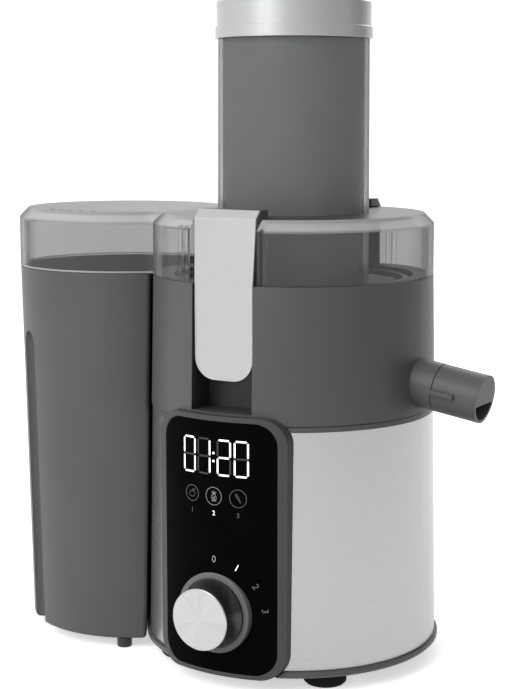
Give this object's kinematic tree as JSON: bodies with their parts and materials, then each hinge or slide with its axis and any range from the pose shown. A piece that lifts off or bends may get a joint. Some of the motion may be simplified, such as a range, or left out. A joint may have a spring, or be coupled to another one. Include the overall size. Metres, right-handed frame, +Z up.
{
  "type": "centrifugal juicer",
  "caption": "Countertop centrifugal juicer with wide feed chute, pusher, clear lid, clamping latches, drooping spout, side pulp container, curved control panel and motor-driven filter basket.",
  "frame": {"origin": "on the motor and basket axis, at the height of the table under the rubber feet", "axes": "+Z up along the motor axis, +X towards the juice spout, -Y towards the control panel"},
  "size_m": [0.3169, 0.1994, 0.393],
  "materials": {
    "dark_plastic": "fine satin moulded grey plastic",
    "smoke_clear": "clear smoke-grey moulded plastic",
    "pusher_grey": "dark satin plastic",
    "cap_silver": "silver-grey satin plastic",
    "latch_silver": "silver satin paint",
    "steel_brushed": "fine brushed stainless",
    "glass_black": "gloss black panel with printed display",
    "knob_face_metal": "spun bright aluminium",
    "knob_side_metal": "dark metallic lacquer",
    "knob_ring_grey": "satin grey plastic",
    "foot_rubber": "matt black rubber",
    "container_foot_plastic": "dark plastic pegs",
    "housing_black": "black moulded plastic",
    "coupling_black": "black glass-filled plastic",
    "basket_plastic": "grey plastic",
    "machined_steel": "ground steel",
    "lamination_steel": "stacked steel sheets",
    "bracket_zinc": "cast zinc",
    "copper": "enamelled copper",
    "carbon": "carbon",
    "board_green": "solder-masked board"
  },
  "bodies": {
    "root": {"juice_bowl": "dark_plastic", "base_tray": "dark_plastic", "control_bezel": "dark_plastic", "top_collar": "dark_plastic", "lid": "smoke_clear", "steel_skin": "steel_brushed", "display_glass": "glass_black", "knob_ring": "knob_ring_grey", "rubber_feet": "foot_rubber", "motor_mounts": "foot_rubber", "shaft_seal": "foot_rubber", "cord_gland": "foot_rubber", "motor_housing": "housing_black", "rotary_switch": "housing_black", "brush_holders": "housing_black", "interlock_switch": "housing_black", "lower_bearing": "machined_steel", "upper_bearing": "machined_steel", "motor_bolts": "machined_steel", "base_screws": "machined_steel", "front_latch_pin": "machined_steel", "rear_latch_pin": "machined_steel", "stator_core": "lamination_steel", "lower_bracket": "bracket_zinc", "upper_bracket": "bracket_zinc", "field_windings": "copper", "carbon_brushes": "carbon", "display_board": "board_green", "power_board": "board_green"},
    "pusher": {"pusher_body": "pusher_grey", "pusher_cap": "cap_silver"},
    "front_latch": {"front_latch_arm": "dark_plastic", "front_latch_cover": "latch_silver"},
    "rear_latch": {"rear_latch_arm": "dark_plastic", "rear_latch_cover": "latch_silver"},
    "spout": {"spout": "dark_plastic", "spout_o_ring": "foot_rubber"},
    "knob": {"knob_body": "knob_side_metal", "knob_face": "knob_face_metal", "switch_spindle": "machined_steel"},
    "rotor": {"motor_shaft": "machined_steel", "armature_core": "lamination_steel", "armature_winding": "copper", "commutator": "copper", "cooling_fan": "coupling_black", "drive_coupling": "coupling_black", "basket_frame": "basket_plastic", "basket_mesh": "steel_brushed", "grater_disc": "steel_brushed"},
    "pulp_container": {"pulp_container": "dark_plastic", "container_feet": "container_foot_plastic"}
  },
  "joints": [
    {"name": "pusher_slide", "type": "slide", "parent": "root", "child": "pusher", "axis": [0, 0, 1], "range_m": [0, 0.175]},
    {"name": "front_latch_swing", "type": "hinge", "parent": "root", "child": "front_latch", "pos_m": [0, -0.0745, 0.188], "axis": [1, 0, 0], "range_deg": [0, 75]},
    {"name": "rear_latch_swing", "type": "hinge", "parent": "root", "child": "rear_latch", "pos_m": [0, 0.0745, 0.188], "axis": [-1, 0, 0], "range_deg": [0, 75]},
    {"name": "spout_twist", "type": "hinge", "parent": "root", "child": "spout", "pos_m": [0.09776, 0, 0.17048], "axis": [0.9871, 0, -0.1599], "range_deg": [0, 180]},
    {"name": "knob_turn", "type": "hinge", "parent": "root", "child": "knob", "pos_m": [0, -0.1, 0.0453], "axis": [0, 1, 0], "range_deg": [0, 82.5]},
    {"name": "rotor_spin", "type": "hinge", "parent": "root", "child": "rotor", "pos_m": [0, 0, 0.1], "axis": [0, 0, 1], "continuous": true},
    {"name": "container_slide", "type": "slide", "parent": "root", "child": "pulp_container", "axis": [-1, 0, 0], "range_m": [0, 0.13]}
  ]
}
